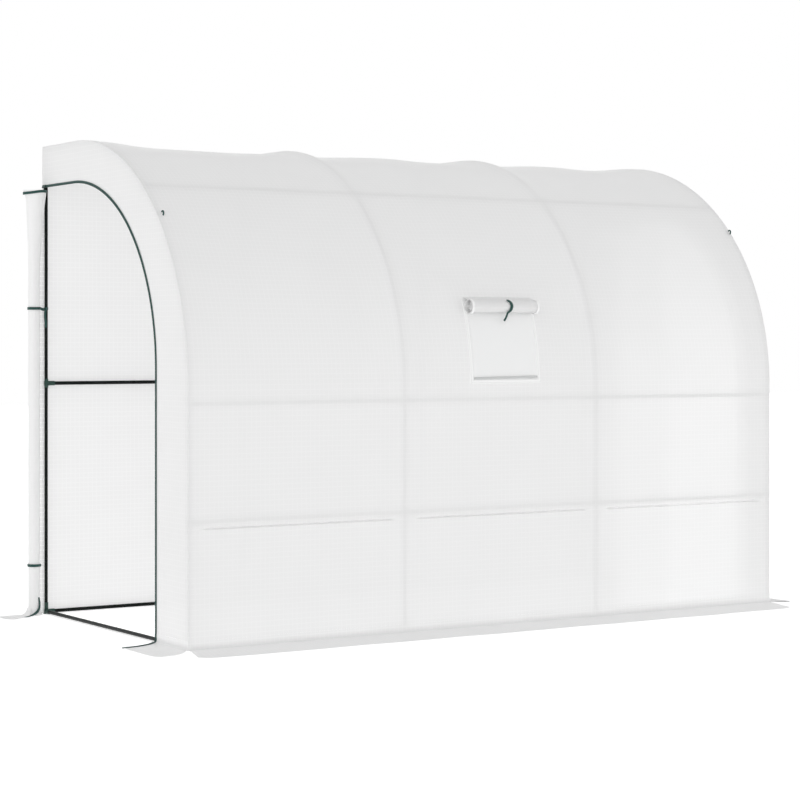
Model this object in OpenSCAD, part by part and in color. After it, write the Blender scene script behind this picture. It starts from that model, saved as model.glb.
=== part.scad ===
// Lean-to polytunnel greenhouse: bent tube hoops under a woven film cover,
// with a rolled-up door at each end and a small window in the front.
// Millimetres. X runs along the length, the front faces -Y, the ground is Z = 0.
// The origin is the middle of the ground area that the cover takes up.

/* [Frame] */
// Distance between neighbouring hoops
hoop_pitch = 1000; // [700:10:1300]
// Depth of the frame over its tubes, front to rear
frame_depth = 1410; // [1250:5:1800]
// Height of the frame over its tubes
frame_height = 2075; // [1950:5:2400]
// Outer radius of the bend over the front shoulder
arch_r = 1063; // [900:1:1150]
// Outer diameter of the frame tubes
tube_d = 16; // [12:0.5:25]
// Wall of the frame tubes
tube_wall = 0.8; // [0.6:0.1:2]

/* [Rails] */
// Height of the lower front purlin
lower_purlin_z = 500; // [300:5:600]
// Height of the middle front purlin
mid_purlin_z = 967; // [800:1:1100]
// Angle of the upper purlin round the bend, from the front
upper_purlin_angle = 52; // [30:1:75]
// Distance of the rail across the rear wall below the top rail
rear_rail_drop = 1041; // [720:1:1400]

/* [Connectors] */
// Wall of a connector's sockets
socket_wall = 1.8; // [1.2:0.1:4]
// Reach of a socket from the connector's centre
socket_l = 40; // [28:1:80]
// Reach of the short collars round a tube that runs through
collar_l = 20; // [15:0.5:22]
// Extra half width of a connector's hub over its sockets
hub_extra = 0.6; // [0.3:0.1:3]
// Radial clearance of a tube in its socket
tube_fit = 0.3; // [0.2:0.05:0.6]

/* [Cover] */
// Thickness of the cover sheets
sheet_t = 2; // [1:0.25:4]
// Clearance between the cover and what it lies on
sheet_gap = 0.3; // [0.2:0.05:0.8]
// Reach of the front ground skirt from the wall
front_skirt_w = 200; // [120:5:300]
// Reach of the end ground skirts from the wall
end_skirt_w = 165; // [100:5:250]
// Radius of the turn from a wall into its skirt
skirt_r = 35; // [15:1:80]
// Spread of an end skirt past the front corner, at its outer edge
skirt_spread = 90; // [0:5:150]

/* [Doorway] */
// Height of the fixed border over the doorway
door_head = 185; // [120:5:300]
// Width of the fixed border beside the doorway
door_jamb = 285; // [150:5:400]
// Radius of the doorway's rounded corner
door_arch_r = 790; // [300:5:850]
// Width of the zip tape round the doorway
zip_w = 12; // [6:1:25]
// Thickness of the zip tape
zip_t = 1.2; // [0.8:0.1:3]

/* [Rolled doors] */
// Diameter of a rolled door
roll_d = 54; // [40:1:70]
// Distance of the roll outside the end hoop
roll_offset = 63; // [62:1:100]
// Diameter of the roll's loose top
roll_top_d = 100; // [72:1:104]
// Height over which the roll opens out to its loose top
roll_top_h = 320; // [150:10:500]
// Diameter where the roll spreads on the ground
roll_foot_d = 88; // [72:1:96]
// Height over which the roll spreads to the ground
roll_foot_h = 60; // [30:5:120]
// Drop of the roll's top below the doorway's head
roll_drop = 14; // [4:1:60]
// Depth of the door's own ground flap along the rear corner
flap_depth = 140; // [90:5:250]
// Distance of the upper door tie below the roll's top
upper_tie_drop = 521; // [510:1:900]
// Height of the lower door tie
lower_tie_z = 215; // [150:5:500]
// Width of the ties
tie_w = 12; // [6:1:25]
// Thickness of the ties
tie_t = 1.5; // [1:0.1:2]

/* [Window] */
// Distance of the window from the middle of the length
window_x = 12; // [-200:1:200]
// Width of the window over its border
window_w = 368; // [250:1:600]
// Height of the window over its border
window_h = 347; // [250:1:450]
// Height of the window's lower edge over the foot of the bend
window_rise = 31; // [10:1:200]
// Width of the border strip
border_w = 17; // [8:1:40]
// Thickness of the border strip
border_t = 1.2; // [0.8:0.1:3]
// Thickness of the net
net_t = 0.8; // [0.5:0.1:1.5]
// Overlap of the net behind the cover
net_lap = 20; // [8:1:40]
// Diameter of the rolled window flap
flap_roll_d = 58; // [35:1:90]
// Length of the loose end of the window tie
tie_tail = 38; // [15:1:80]

/* [Rope loops] */
// Angle of the rope loops round the bend, from the front
loop_angle = 43; // [15:1:75]
// Radius of a loop at the middle of its wire
loop_r = 7; // [5:0.5:14]
// Thickness of the loop's wire
loop_wire_d = 4; // [2:0.5:6]
// Length of the patch under a loop
patch_l = 34; // [30:1:60]
// Width of the patch under a loop
patch_w = 14; // [8:1:30]
// Thickness of the patch
patch_t = 1.2; // [0.8:0.1:3]

/* [Hidden] */
$fn = 96;
bays = 3;
// Overlap of a cutting shape past the face that it cuts
cut = 1;

tube_r = tube_d / 2;
bore_r = tube_r + tube_fit;
socket_r = bore_r + socket_wall;
hub_r = socket_r + hub_extra;
socket_floor = hub_r + cut;
tube_end = socket_floor + tube_fit;

// How far the cover's inner and outer faces lie outside the tubes
cover_in = hub_r - tube_r + sheet_gap;
cover_out = cover_in + sheet_t;

rear_y = (frame_depth + front_skirt_w) / 2;
front_y = rear_y - frame_depth;
post_y = rear_y - tube_r;
leg_y = front_y + tube_r;
rail_z = hub_r;
top_z = frame_height - tube_r;
rear_rail_z = top_z - rear_rail_drop;
bend_r = arch_r - tube_r;
arch_y = front_y + arch_r;
arch_z = frame_height - arch_r;

end_hoop_x = bays * hoop_pitch / 2;
end_in = end_hoop_x + hub_r + sheet_gap;
end_out = end_in + sheet_t;
front_out = front_y - cover_out;
rear_out = rear_y + cover_out;
skirt_top = skirt_r + sheet_t;

door_top = frame_height + cover_out - door_head;
jamb_y = front_out + door_jamb;

roll_r = roll_d / 2;
roll_x = end_hoop_x + roll_offset;
roll_top = door_top - roll_drop;
// The roll's edge leaves it just inside its rearmost line, with room for the ties behind
web_y = rear_out - tie_t - 2 * tube_fit;
roll_y = web_y + tube_fit - roll_r;

window_sill_z = arch_z + window_rise;
window_top = window_sill_z + window_h;
flap_r = flap_roll_d / 2;
flap_seat = arch_r + cover_out + sheet_gap + border_t + sheet_gap + flap_r;
flap_angle = asin((window_top - flap_r - arch_z) / flap_seat);

function hoop_x(i) = (i - bays / 2) * hoop_pitch;

// Slope and depth of a hoop's tube at a height on its front side
function front_angle(z) = z > arch_z ? asin((z - arch_z) / bend_r) : 0;
function front_axis_y(z) = z > arch_z ? arch_y - bend_r * cos(front_angle(z)) : leg_y;

// Lays a flat outline, drawn as depth and height, along the length
module along_x(x0, length) {
    translate([x0, 0, 0]) rotate([90, 0, 90]) linear_extrude(length) children();
}

// Turns a piece made along +Z to point along a direction
module toward(d) {
    rotate([0, acos(d.z), atan2(d.y, d.x)]) children();
}

// Places a piece on the bend's tube axis, with -Y pointing outwards
module on_arch(x, angle, radius) {
    translate([x, arch_y - radius * cos(angle), arch_z + radius * sin(angle)])
        rotate([-angle, 0, 0]) children();
}

// Repeats a piece of the left end at the right end
module at_right() {
    mirror([1, 0, 0]) children();
}

module tube_section() {
    difference() {
        circle(d = tube_d);
        circle(d = tube_d - 2 * tube_wall);
    }
}

// One hoop: top run, shoulder bend and front leg, as one bent tube
module hoop(x) {
    color("#2b3532") translate([x, 0, 0]) {
        translate([0, arch_y, top_z]) rotate([-90, 0, 0])
            linear_extrude(post_y - tube_end - arch_y) tube_section();
        translate([0, arch_y, arch_z]) rotate([90, 0, 90]) rotate([0, 0, 90])
            rotate_extrude(angle = 90) translate([bend_r, 0]) tube_section();
        translate([0, leg_y, rail_z + tube_end])
            linear_extrude(arch_z - rail_z - tube_end) tube_section();
    }
}

module rear_post(x) {
    color("#2b3532") translate([x, post_y, rail_z + tube_end])
        linear_extrude(top_z - rail_z - 2 * tube_end) tube_section();
}

// A row of tubes along the length, one in each bay
module rail(y, z) {
    color("#2b3532") for (i = [0 : bays - 1])
        translate([hoop_x(i) + tube_end, y, z]) rotate([0, 90, 0])
            linear_extrude(hoop_pitch - 2 * tube_end) tube_section();
}

module base_bar(x) {
    color("#2b3532") translate([x, leg_y + tube_end, rail_z]) rotate([-90, 0, 0])
        linear_extrude(post_y - leg_y - 2 * tube_end) tube_section();
}

// A moulded connector: tubes end in its sockets or run through its collars
module connector(sockets, collars = []) {
    color("#24433a") difference() {
        union() {
            cube(2 * hub_r, center = true);
            for (d = sockets) toward(d) cylinder(r = socket_r, h = socket_l);
            for (d = collars) toward(d) cylinder(r = socket_r, h = collar_l);
        }
        for (d = sockets) toward(d) translate([0, 0, socket_floor])
            cylinder(r = bore_r, h = socket_l);
        if (len(collars) > 0)
            cylinder(r = bore_r, h = 2 * (collar_l + cut), center = true);
    }
}

// Directions of the rails that leave the connector of hoop i
function rail_ways(i) = [if (i > 0) [-1, 0, 0], if (i < bays) [1, 0, 0]];

// The base bar is on the end hoops only
function bar_ways(i, way) = [if (i == 0 || i == bays) way];

module foot_connectors(y, inward) {
    for (i = [0 : bays]) translate([hoop_x(i), y, rail_z])
        connector(concat([[0, 0, 1]], rail_ways(i), bar_ways(i, [0, inward, 0])));
}

module collar_connectors(y, z, angle = 0) {
    for (i = [0 : bays]) translate([hoop_x(i), y, z]) rotate([-angle, 0, 0])
        connector(rail_ways(i), [[0, 0, 1], [0, 0, -1]]);
}

module front_connectors(z) {
    collar_connectors(front_axis_y(z), z, front_angle(z));
}

module top_connectors() {
    for (i = [0 : bays]) translate([hoop_x(i), post_y, top_z])
        connector(concat([[0, 0, -1], [0, -1, 0]], rail_ways(i)));
}

module arch_connectors() {
    for (i = [0 : bays]) on_arch(hoop_x(i), upper_purlin_angle, bend_r)
        connector(rail_ways(i), [[0, 0, 1], [0, 0, -1]]);
}

// Area under the arch, its edge lying a distance outside the tubes
module arch_area(out) {
    translate([front_y - out, 0]) square([frame_depth + 2 * out, arch_z]);
    translate([arch_y, 0]) square([rear_y - arch_y + out, frame_height + out]);
    intersection() {
        translate([arch_y, arch_z]) circle(r = arch_r + out, $fn = 240);
        translate([front_y - 2 * out, arch_z]) square([arch_r + 2 * out, arch_r + 2 * out]);
    }
}

// A sheet that follows the arch between two distances outside the tubes
module arch_sheet(x0, length, low, high) {
    along_x(x0, length) difference() {
        arch_area(high);
        arch_area(low);
        translate([arch_y, -cut]) square([rear_out - arch_y + cut, frame_height + low + cut]);
    }
}

// A block through the front wall at the window, smaller by an inset all round
module window_block(inset) {
    translate([window_x - window_w / 2 + inset, front_out - frame_depth, window_sill_z + inset])
        cube([window_w - 2 * inset, 2 * frame_depth, window_h - 2 * inset]);
}

module arch_cover() {
    color("#f2f3f3") difference() {
        arch_sheet(-end_out, 2 * end_out, cover_in, cover_out);
        translate([-end_out - cut, front_out - cut, -cut])
            cube([2 * (end_out + cut), frame_depth, skirt_top + cut]);
        window_block(border_w);
    }
}

module rear_cover() {
    color("#f2f3f3") translate([-end_out, rear_y + cover_in, 0])
        cube([2 * end_out, sheet_t, frame_height + cover_in - sheet_gap]);
}

// Area of the doorway, its edge moved outwards into the border
module door_area(out) {
    reach = rear_out + cut;
    center_y = jamb_y + door_arch_r;
    center_z = door_top - door_arch_r;
    translate([jamb_y - out, -cut]) square([reach - jamb_y + out, center_z + cut]);
    translate([center_y, center_z - cut]) square([reach - center_y, door_arch_r + out + cut]);
    intersection() {
        translate([center_y, center_z]) circle(r = door_arch_r + out, $fn = 240);
        translate([jamb_y - 2 * out - cut, center_z])
            square([door_arch_r + 2 * out + cut, door_arch_r + 2 * out + cut]);
    }
}

// The fixed arched panel round a doorway
module end_border() {
    color("#f2f3f3") along_x(-end_out, sheet_t) difference() {
        arch_area(cover_in - sheet_gap);
        door_area(0);
        translate([front_out, -cut]) square([frame_depth, skirt_top + cut]);
    }
}

// The zip tape along the doorway's edge
module door_zip() {
    color("#25443b") along_x(-end_out - sheet_gap - zip_t, zip_t) difference() {
        door_area(zip_w);
        door_area(0);
        translate([front_out, -2 * cut]) square([frame_depth, skirt_top + 2 * cut]);
        translate([rear_y, 0]) square([frame_depth, frame_height]);
    }
}

// The turn of a wall's foot, as depth and height with the wall's outer face at 0
module skirt_turn() {
    intersection() {
        translate([-skirt_r, skirt_top]) difference() {
            circle(r = skirt_top);
            circle(r = skirt_r);
        }
        translate([-skirt_r, 0]) square([skirt_top, skirt_top]);
    }
}

module front_skirt() {
    color("#e6e7e7") {
        translate([0, front_out, 0]) along_x(-end_out, 2 * end_out) skirt_turn();
        translate([-end_out, front_out - front_skirt_w, 0])
            cube([2 * end_out, front_skirt_w - skirt_r, sheet_t]);
    }
}

// The skirt under an end border, spreading past the front corner
module end_skirt() {
    border_y = front_y - cover_in + sheet_gap;
    color("#e6e7e7") translate([-end_out, 0, 0]) {
        translate([0, jamb_y, 0]) rotate([90, 0, 0])
            linear_extrude(jamb_y - border_y) skirt_turn();
        linear_extrude(sheet_t) polygon([[-skirt_r, jamb_y], [-end_skirt_w, jamb_y],
            [-end_skirt_w, border_y - skirt_spread], [-skirt_r, border_y]]);
    }
}

// Half section of the rolled door, from its axis outwards
function roll_outline(steps) = concat(
    [[0, 0]],
    [for (i = [0 : steps]) let (t = i / steps)
        [roll_r + (roll_foot_d / 2 - roll_r) * pow(1 - t, 3), roll_foot_h * t]],
    [for (i = [0 : steps]) let (t = i / steps)
        [roll_r + (roll_top_d / 2 - roll_r) * pow(t, 3), roll_top - roll_top_h * (1 - t)]],
    [[0, roll_top]]);

// The door panel rolled up beside the rear post, with its edge and ground flap
module door_roll() {
    web_x = end_out + sheet_gap;
    color("#eceded") difference() {
        union() {
            translate([-roll_x, roll_y, 0]) rotate_extrude() polygon(roll_outline(8));
            translate([-roll_x, web_y - sheet_t, 0]) cube([roll_x - web_x, sheet_t, roll_top]);
            translate([-end_out - end_skirt_w, rear_out - flap_depth, 0])
                cube([end_skirt_w - sheet_gap, flap_depth, sheet_t]);
        }
        translate([-roll_x - roll_top_d, rear_out, -cut])
            cube([2 * roll_top_d, roll_top_d, roll_top + 2 * cut]);
    }
}

// Strap round the rolled door
module tie_ring() {
    translate([-roll_x, roll_y, 0]) cylinder(r = roll_r + tube_fit + tie_t, h = tie_w);
}

// Room in a strap for the roll, the rear post and the sheet that leads to the roll
module tie_room() {
    translate([-roll_x, roll_y, -cut]) cylinder(r = roll_r + tube_fit, h = tie_w + 2 * cut);
    translate([-end_hoop_x, post_y, -cut]) cylinder(r = bore_r, h = tie_w + 2 * cut);
    translate([-roll_x, web_y - sheet_t - tube_fit, -cut])
        cube([roll_r + tie_t + cut, roll_r, tie_w + 2 * cut]);
}

// The lower strap goes round the roll alone, the upper one ties it to the rear post
module door_ties() {
    strap_y = (post_y + roll_y) / 2;
    color("#25443b") {
        translate([0, 0, lower_tie_z]) difference() {
            tie_ring();
            tie_room();
        }
        translate([0, 0, roll_top - upper_tie_drop]) difference() {
            union() {
                tie_ring();
                translate([-end_hoop_x, post_y, 0]) cylinder(r = bore_r + tie_t, h = tie_w);
                translate([-roll_x, strap_y - tie_t / 2, 0]) cube([roll_offset, tie_t, tie_w]);
            }
            tie_room();
        }
    }
}

module window_net() {
    color("#dfe3e2") intersection() {
        arch_sheet(-end_in, 2 * end_in, cover_in - sheet_gap - net_t, cover_in - sheet_gap);
        window_block(border_w - net_lap);
    }
}

module window_border() {
    color("#f7f8f8") difference() {
        intersection() {
            arch_sheet(-end_in, 2 * end_in, cover_out + sheet_gap,
                cover_out + sheet_gap + border_t);
            window_block(0);
        }
        window_block(border_w);
    }
}

module window_flap_roll() {
    color("#e8e9e9") on_arch(window_x - window_w / 2 + border_w / 2, flap_angle, flap_seat)
        rotate([0, 90, 0]) cylinder(r = flap_r, h = window_w - border_w);
}

// A strap over the outer half of the rolled flap, with a loose end
module window_tie() {
    inner_r = flap_r + tube_fit;
    outer_r = inner_r + tie_t;
    color("#25443b") on_arch(window_x, flap_angle, flap_seat) {
        difference() {
            rotate([0, 90, 0]) cylinder(r = outer_r, h = tie_w);
            translate([-cut, 0, 0]) rotate([0, 90, 0]) cylinder(r = inner_r, h = tie_w + 2 * cut);
            translate([-cut, 0, -2 * outer_r]) cube([tie_w + 2 * cut, outer_r, 4 * outer_r]);
        }
        translate([0, -tie_t, -inner_r - tie_tail]) cube([tie_w, tie_t, tie_tail]);
    }
}

// Rope loops on the shoulders of the two end hoops
module rope_loops() {
    seat = arch_r + cover_out + sheet_gap + patch_t;
    color("#25443b") for (i = [0, bays]) on_arch(hoop_x(i), loop_angle, seat) {
        translate([-patch_w / 2, 0, -patch_l / 2]) cube([patch_w, patch_t, patch_l]);
        rotate([180, 90, 0])
            rotate_extrude(angle = 180) translate([loop_r, 0]) circle(d = loop_wire_d, $fn = 32);
    }
}

hoop(hoop_x(0));  // left_end_hoop
hoop(hoop_x(1));  // left_inner_hoop
hoop(hoop_x(2));  // right_inner_hoop
hoop(hoop_x(3));  // right_end_hoop
rear_post(hoop_x(0));  // left_end_post
rear_post(hoop_x(1));  // left_inner_post
rear_post(hoop_x(2));  // right_inner_post
rear_post(hoop_x(3));  // right_end_post
rail(post_y, rail_z);  // rear_bottom_rail
rail(post_y, rear_rail_z);  // rear_mid_rail
rail(post_y, top_z);  // rear_top_rail
rail(leg_y, rail_z);  // front_bottom_rail
rail(front_axis_y(lower_purlin_z), lower_purlin_z);  // lower_purlin
rail(front_axis_y(mid_purlin_z), mid_purlin_z);  // mid_purlin
rail(arch_y - bend_r * cos(upper_purlin_angle), arch_z + bend_r * sin(upper_purlin_angle));  // upper_purlin
base_bar(hoop_x(0));  // left_base_bar
base_bar(hoop_x(3));  // right_base_bar
foot_connectors(post_y, -1);  // rear_foot_connectors
collar_connectors(post_y, rear_rail_z);  // rear_mid_connectors
top_connectors();  // rear_top_connectors
foot_connectors(leg_y, 1);  // front_foot_connectors
front_connectors(lower_purlin_z);  // lower_purlin_connectors
front_connectors(mid_purlin_z);  // mid_purlin_connectors
arch_connectors();  // upper_purlin_connectors
arch_cover();
rear_cover();
end_border();  // left_end_border
at_right() end_border();  // right_end_border
front_skirt();
end_skirt();  // left_skirt
at_right() end_skirt();  // right_skirt
door_roll();  // left_door_roll
at_right() door_roll();  // right_door_roll
door_zip();  // left_door_zip
at_right() door_zip();  // right_door_zip
door_ties();  // left_door_ties
at_right() door_ties();  // right_door_ties
window_net();
window_border();
window_flap_roll();
window_tie();
rope_loops();
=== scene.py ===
import math

import bpy
import numpy as np
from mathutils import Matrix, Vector


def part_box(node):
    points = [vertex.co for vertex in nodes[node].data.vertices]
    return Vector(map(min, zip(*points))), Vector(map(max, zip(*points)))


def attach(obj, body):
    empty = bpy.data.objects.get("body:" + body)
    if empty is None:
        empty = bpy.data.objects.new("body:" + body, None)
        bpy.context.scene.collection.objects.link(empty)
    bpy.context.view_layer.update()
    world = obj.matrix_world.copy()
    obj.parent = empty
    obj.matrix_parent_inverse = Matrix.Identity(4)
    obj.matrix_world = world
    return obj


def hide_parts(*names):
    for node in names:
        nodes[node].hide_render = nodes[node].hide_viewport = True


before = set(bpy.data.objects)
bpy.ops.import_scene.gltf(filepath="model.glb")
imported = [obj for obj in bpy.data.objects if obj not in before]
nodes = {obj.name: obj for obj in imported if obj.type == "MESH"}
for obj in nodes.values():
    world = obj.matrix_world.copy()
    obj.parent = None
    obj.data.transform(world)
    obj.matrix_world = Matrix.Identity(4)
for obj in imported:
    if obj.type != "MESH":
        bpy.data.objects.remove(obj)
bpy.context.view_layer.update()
ENDS = ((-1, "left"), (1, "right"))


def middle(name):
    """Middle of a node's box, as three numbers."""
    return [(low + high) / 2 for low, high in zip(*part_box(name))]


# Camera, fitted to the photograph's frame of 800 by 800 pixels
CAMERA_AT = (-5.4866, -8.3818, 1.2179)
CAMERA_YAW = -32.54
CAMERA_LENS = 99.87
CAMERA_SHIFT = -0.0749
SENSOR = 36.0

# Film surfaces, in metres, from the frame
FILM_T = 0.002
cover_low, cover_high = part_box("arch_cover")
HALF_LENGTH = cover_high.x - FILM_T / 2
FRONT_Y = cover_low.y + FILM_T / 2
REAR_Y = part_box("rear_cover")[1].y - FILM_T / 2
TOP_Z = cover_high.z - FILM_T / 2
FOOT_Z = cover_low.z
ARCH_R = 1.067
ARCH_Y = FRONT_Y + ARCH_R
ARCH_Z = TOP_Z - ARCH_R
BEND_L = ARCH_R * math.pi / 2
ARCH_L = ARCH_Z + BEND_L + REAR_Y - ARCH_Y
HOOPS = [middle(name)[0] for name in
         ("left_end_hoop", "left_inner_hoop", "right_inner_hoop", "right_end_hoop")]
BAY = HOOPS[1] - HOOPS[0]

# Window, whose lower edge hangs a little below the CAD's
window_low, window_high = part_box("window_border")
WINDOW_DROP = 0.010
WINDOW_FOOT = window_low.z - WINDOW_DROP
WINDOW_X = (window_low.x + window_high.x) / 2
BORDER_W = 0.017

# Doorway edge on the end planes
JAMB_Y = -0.325
DOOR_TOP = 1.895
DOOR_R = 0.79
DOOR_ARC_Y = JAMB_Y + DOOR_R
DOOR_ARC_Z = DOOR_TOP - DOOR_R

# Purlins that hold the film out, as distances up the cover from the ground
UPPER_ANGLE = math.radians(52)
LOWER_S = middle("lower_purlin")[2]
MID_S = middle("mid_purlin")[2]
UPPER_S = ARCH_Z + ARCH_R * UPPER_ANGLE

EDGE_R = 0.003
GROUND_LIFT = 0.0015
GROUND_LEAST = 0.0012


# Numbers along curves

RIPPLE_RATES = (0.55, 1.5)
RIPPLE_GAIN = 1.7


def smooth(low, high, value):
    """0 at low, 1 at high and beyond, and a smooth step between."""
    t = np.clip((value - low) / (high - low), 0, 1)
    return t * t * (3 - 2 * t)


def hump(value, at, width):
    """1 at a place, falling away smoothly on both sides of it."""
    return np.exp(-((value - at) / width) ** 2)


def ripple(u, v, scale, seed, count=7):
    """Gentle seeded unevenness of about -1 to 1, with humps about scale across."""
    rng = np.random.default_rng(seed)
    total = np.zeros(np.broadcast(u, v).shape)
    for _ in range(count):
        way = rng.uniform(0, 2 * math.pi)
        rate = 2 * math.pi / scale * rng.uniform(*RIPPLE_RATES)
        total += np.sin(rate * (u * math.cos(way) + v * math.sin(way)) + rng.uniform(0, 2 * math.pi))
    return total / count * RIPPLE_GAIN


def steps(low, high, count):
    """Evenly spaced values from low up to, but without, high."""
    return np.linspace(low, high, count, endpoint=False)


def lines(stops, step):
    """Values from the first stop to the last, through each stop, about step apart."""
    stops = sorted(stops)
    made = [stops[0]]
    for low, high in zip(stops, stops[1:]):
        count = max(1, math.ceil((high - low) / step))
        made += [low + (high - low) * (i + 1) / count for i in range(count)]
    return np.array(made)


def merged(*runs):
    """Several runs of values as one, sorted and without doubles."""
    return np.unique(np.round(np.concatenate(runs), 6))


def stack(*parts):
    """Points from their coordinates, brought to one shape."""
    return np.stack(np.broadcast_arrays(*parts), axis=-1)


def unit(v):
    return v / np.maximum(np.linalg.norm(v, axis=-1, keepdims=True), 1e-9)


def run_along(path):
    """Distance along a path at each of its points."""
    return np.concatenate([[0], np.cumsum(np.linalg.norm(np.diff(path, axis=0), axis=1))])


def interpolated(at, along, values):
    """Values at some distances, from those at known distances along a path."""
    return stack(*(np.interp(at, along, column) for column in values.T))


def spaced(path, step):
    """Points about step apart along a path, with the path's direction there."""
    path = np.asarray(path, float)
    along = run_along(path)
    at = np.arange(step / 2, along[-1], step)
    ahead = interpolated(at + step / 4, along, path)
    behind = interpolated(at - step / 4, along, path)
    return interpolated(at, along, path), unit(ahead - behind), at


def arch_profile(s, inset=0.0):
    """Depth, height and outward direction of the cover at a distance up from the ground."""
    bend = np.clip((s - ARCH_Z) / ARCH_R, 0, math.pi / 2)
    run = np.clip(s - ARCH_Z - BEND_L, 0, None)
    out_y = -np.cos(bend)
    out_z = np.sin(bend)
    y = ARCH_Y + ARCH_R * out_y + run - inset * out_y
    z = np.minimum(s, ARCH_Z) + ARCH_R * out_z - inset * out_z
    return y, z, out_y, out_z


def on_cover(x, s, out):
    """A point at a distance outside the cover's nominal surface."""
    y, z, out_y, out_z = arch_profile(np.asarray(s, float))
    return stack(x, y + out_y * out, z + out_z * out)


def height_to_s(z):
    """Distance up the cover at which its front side has a height."""
    return z if z < ARCH_Z else ARCH_Z + ARCH_R * math.asin((z - ARCH_Z) / ARCH_R)


def door_edge(count=90):
    """Depth and height along the doorway's edge, from the jamb's foot to the rear."""
    jamb = stack(JAMB_Y, steps(FOOT_Z, DOOR_ARC_Z, count // 3))
    turns = steps(0, math.pi / 2, count)
    arc = stack(DOOR_ARC_Y - DOOR_R * np.cos(turns), DOOR_ARC_Z + DOOR_R * np.sin(turns))
    head = stack(np.linspace(DOOR_ARC_Y, REAR_Y - FILM_T, count // 4), DOOR_TOP)
    return np.concatenate([jamb, arc, head])


# Meshes

STRAP_EASE = 0.35
BOX_FACES = [(0, 2, 3, 1), (4, 5, 7, 6), (0, 1, 5, 4), (2, 6, 7, 3), (0, 4, 6, 2), (1, 3, 7, 5)]


def add_object(name, data):
    """A new object in the scene."""
    obj = bpy.data.objects.new(name, data)
    bpy.context.scene.collection.objects.link(obj)
    return obj


def add_piece(name, points, faces, material, uv=None, smooth_shade=True):
    """A new mesh piece that rides on the frame. uv gives flat cloth metres for each point."""
    mesh = bpy.data.meshes.new(name)
    mesh.from_pydata([tuple(p) for p in points], [], [tuple(f) for f in faces])
    if uv is not None:
        layer = mesh.uv_layers.new(name="cloth")
        corner = np.zeros(len(mesh.loops), np.int32)
        mesh.loops.foreach_get("vertex_index", corner)
        layer.data.foreach_set("uv", np.asarray(uv, np.float32)[corner].ravel())
    mesh.polygons.foreach_set("use_smooth", [smooth_shade] * len(mesh.polygons))
    mesh.materials.append(material)
    mesh.update()
    obj = add_object(name, mesh)
    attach(obj, "root")
    SLOTS.get(material, "cover_film")
    return obj


def grid_faces(rows, columns, skip=None):
    """Quads of a grid of points, without those for which skip(row, column) is true."""
    faces = []
    for r in range(rows - 1):
        for c in range(columns - 1):
            if skip is None or not skip(r, c):
                k = r * columns + c
                faces.append((k, k + 1, k + columns + 1, k + columns))
    return faces


def ring_faces(rows, n):
    """Quads between rows of closed rings of n points."""
    return [(i * n + k, i * n + (k + 1) % n, (i + 1) * n + (k + 1) % n, (i + 1) * n + k)
            for i in range(rows - 1) for k in range(n)]


def add_grid(name, points, uv, material, skip=None):
    """A sheet from rows by columns of points."""
    rows, columns = points.shape[:2]
    return add_piece(name, points.reshape(-1, 3), grid_faces(rows, columns, skip),
                     material, uv.reshape(-1, 2))


def sweep(path, normals, section):
    """Points and faces of a section carried along a path. A section point is (across, out)."""
    path = np.asarray(path, float)
    normals = np.broadcast_to(np.asarray(normals, float), path.shape)
    tangents = unit(np.gradient(path, axis=0))
    across = unit(np.cross(tangents, normals))
    out = np.cross(across, tangents)
    ring = np.asarray(section, float)
    points = (path[:, None] + across[:, None] * ring[None, :, :1]
              + out[:, None] * ring[None, :, 1:])
    count, n = points.shape[:2]
    start = tuple(range(n - 1, -1, -1))
    end = tuple((count - 1) * n + k for k in range(n))
    return points.reshape(-1, 3), [*ring_faces(count, n), start, end]


def strap(path, facing, width, thick):
    """A flat strap with eased edges along a path, its inner face on the path."""
    half = width / 2
    ease = thick * STRAP_EASE
    section = [(-half, ease), (-half + ease, 0), (half - ease, 0), (half, ease),
               (half, thick - ease), (half - ease, thick), (-half + ease, thick), (-half, thick - ease)]
    return sweep(path, facing, section)


def round_section(radius, count=10):
    turns = steps(0, 2 * math.pi, count)
    return radius * stack(np.cos(turns), np.sin(turns))


def join(parts):
    """Several (points, faces) as one."""
    points = []
    faces = []
    base = 0
    for p, f in parts:
        points.append(np.asarray(p, float))
        faces += [tuple(i + base for i in face) for face in f]
        base += len(p)
    return np.concatenate(points), faces


def boxes(centres, axes, sizes):
    """Small boxes, each with its own axes, as (points, faces)."""
    sign = np.array([(x, y, z) for x in (-1, 1) for y in (-1, 1) for z in (-1, 1)]) / 2
    centres = np.asarray(centres, float)
    axes = np.asarray(axes, float)
    points = centres[:, None] + np.einsum("ki,nij->nkj", sign * np.asarray(sizes), axes)
    faces = [tuple(8 * i + k for k in face) for i in range(len(centres)) for face in BOX_FACES]
    return points.reshape(-1, 3), faces


# Materials

THREAD_PITCH = 0.021
THREAD_SHARE = 0.17
NET_PITCH = 0.0026
NET_SHARE = 0.42
NOISE_RANGE = (0.3, 0.7)


def new_material(name):
    material = bpy.data.materials.new(name)
    material.use_nodes = True
    tree = material.node_tree
    return material, tree, tree.nodes["Principled BSDF"]


def feed(tree, socket, value):
    """Sets a socket to a number or colour, or links a node's output to it."""
    if isinstance(value, (int, float, tuple)):
        socket.default_value = value
    else:
        tree.links.new(value, socket)


def dress(tree, shader, values):
    """Sets or links several of a shader's inputs by name."""
    for key, value in values.items():
        feed(tree, shader.inputs[key], value)


def add_node(tree, kind, values):
    """A new node with some of its inputs set or linked by name."""
    node = tree.nodes.new(f"ShaderNode{kind}")
    dress(tree, node, values)
    return node


def math_node(tree, operation, *values, clamp=False):
    node = tree.nodes.new("ShaderNodeMath")
    node.operation = operation
    node.use_clamp = clamp
    for socket, value in zip(node.inputs, values):
        feed(tree, socket, value)
    return node.outputs[0]


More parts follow.
